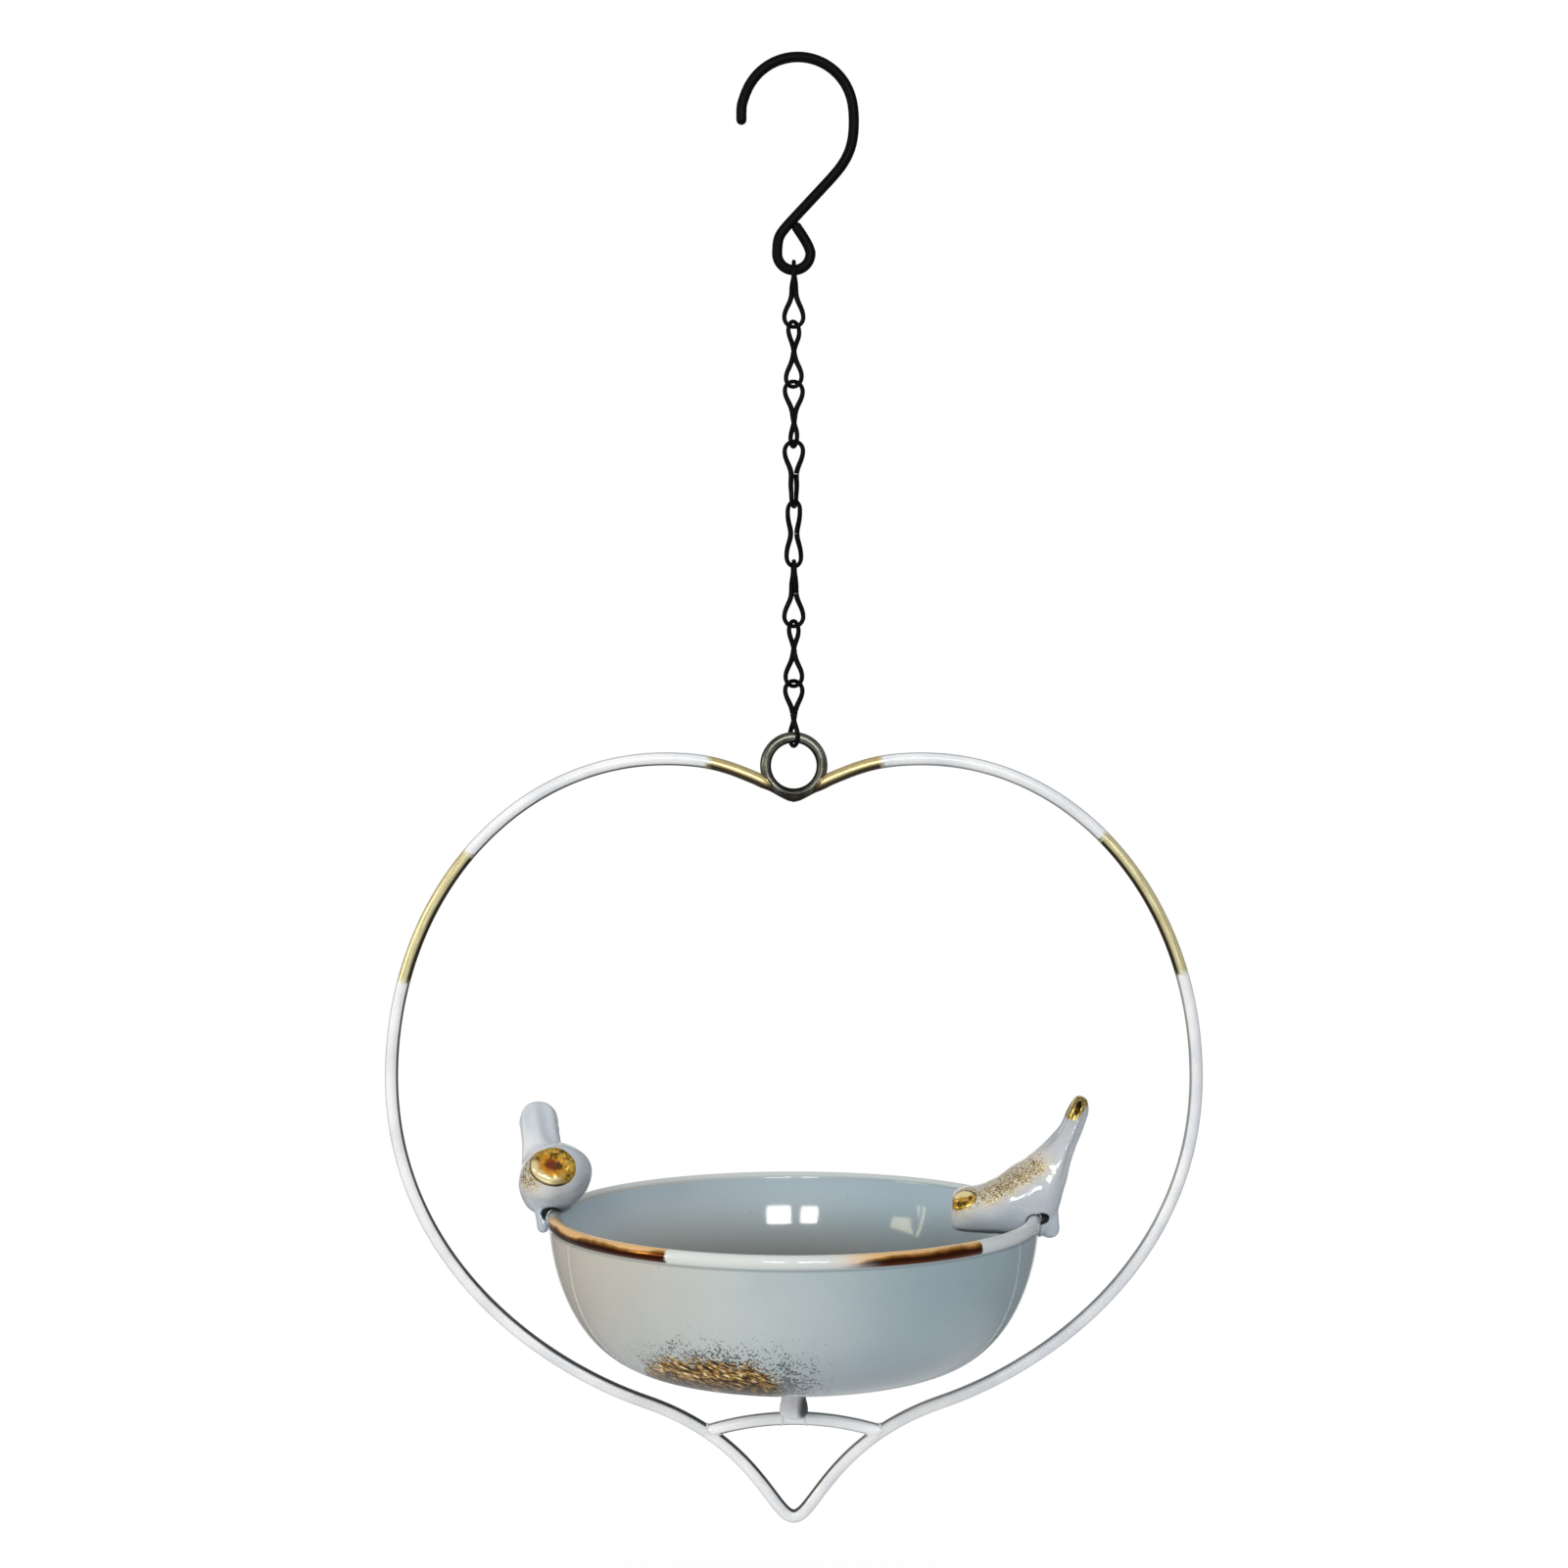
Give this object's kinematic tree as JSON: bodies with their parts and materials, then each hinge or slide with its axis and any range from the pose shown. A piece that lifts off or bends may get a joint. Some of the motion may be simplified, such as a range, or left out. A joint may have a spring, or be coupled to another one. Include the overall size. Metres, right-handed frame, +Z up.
{
  "type": "hanging bird feeder",
  "caption": "Hanging bird feeder: a hook and chain hold a heart-shaped rod frame, in which a round ceramic bowl with perched birds is screwed to a post on a cross bar.",
  "frame": {"origin": "inside top of the hook's crook, on the wire's lower face, where it rests on a branch or bracket", "axes": "+Z up, +X to the right and +Y away from the viewer, so the heart lies in the XZ plane"},
  "size_m": [0.2504, 0.1506, 0.4508],
  "materials": {
    "black_wire": "satin black",
    "pewter": "dark pewter",
    "white_paint": "white paint with gilded stretches",
    "pale_glaze": "pale blue-grey gloss glaze with gilding",
    "bird_glaze": "pale grey gloss glaze with gilding",
    "rubber": "matt",
    "steel": "bright"
  },
  "bodies": {
    "hook": {"hook": "black_wire"},
    "link_1": {"chain_link_1": "black_wire"},
    "link_2": {"chain_link_2": "black_wire"},
    "link_3": {"chain_link_3": "black_wire"},
    "link_4": {"chain_link_4": "black_wire"},
    "link_5": {"chain_link_5": "black_wire"},
    "link_6": {"chain_link_6": "black_wire"},
    "link_7": {"chain_link_7": "black_wire"},
    "link_8": {"chain_link_8": "black_wire"},
    "frame": {"suspension_ring": "pewter", "heart_hoop": "white_paint", "cross_bar": "white_paint", "bowl_post": "white_paint", "base_pad": "rubber", "bowl": "pale_glaze", "bird_left": "bird_glaze", "bird_right": "bird_glaze", "seal_washer": "rubber", "screw_washer": "steel", "clamp_screw": "steel"}
  },
  "joints": [
    {"name": "link_1_swing", "type": "hinge", "parent": "hook", "child": "link_1", "pos_m": [0, 0, -0.064], "axis": [1, 0, 0], "range_deg": [-60, 60]},
    {"name": "link_2_swing", "type": "hinge", "parent": "link_1", "child": "link_2", "pos_m": [0, 0, -0.08139], "axis": [-1, 0, 0], "range_deg": [-40, 40]},
    {"name": "link_3_swing", "type": "hinge", "parent": "link_2", "child": "link_3", "pos_m": [0, 0, -0.09973], "axis": [0.8192, -0.5736, 0], "range_deg": [-40, 40]},
    {"name": "link_4_swing", "type": "hinge", "parent": "link_3", "child": "link_4", "pos_m": [0, 0, -0.11807], "axis": [-0.342, 0.9397, 0], "range_deg": [-40, 40]},
    {"name": "link_5_swing", "type": "hinge", "parent": "link_4", "child": "link_5", "pos_m": [0, 0, -0.13641], "axis": [-0.2588, -0.9659, 0], "range_deg": [-40, 40]},
    {"name": "link_6_swing", "type": "hinge", "parent": "link_5", "child": "link_6", "pos_m": [0, 0, -0.15475], "axis": [0.766, 0.6428, 0], "range_deg": [-40, 40]},
    {"name": "link_7_swing", "type": "hinge", "parent": "link_6", "child": "link_7", "pos_m": [0, 0, -0.17309], "axis": [-0.9962, -0.0872, 0], "range_deg": [-40, 40]},
    {"name": "link_8_swing", "type": "hinge", "parent": "link_7", "child": "link_8", "pos_m": [0, 0, -0.19143], "axis": [0.866, -0.5, 0], "range_deg": [-40, 40]},
    {"name": "frame_swing", "type": "hinge", "parent": "link_8", "child": "frame", "pos_m": [0, 0, -0.20712], "axis": [-1, 0, 0], "range_deg": [-50, 50]}
  ]
}
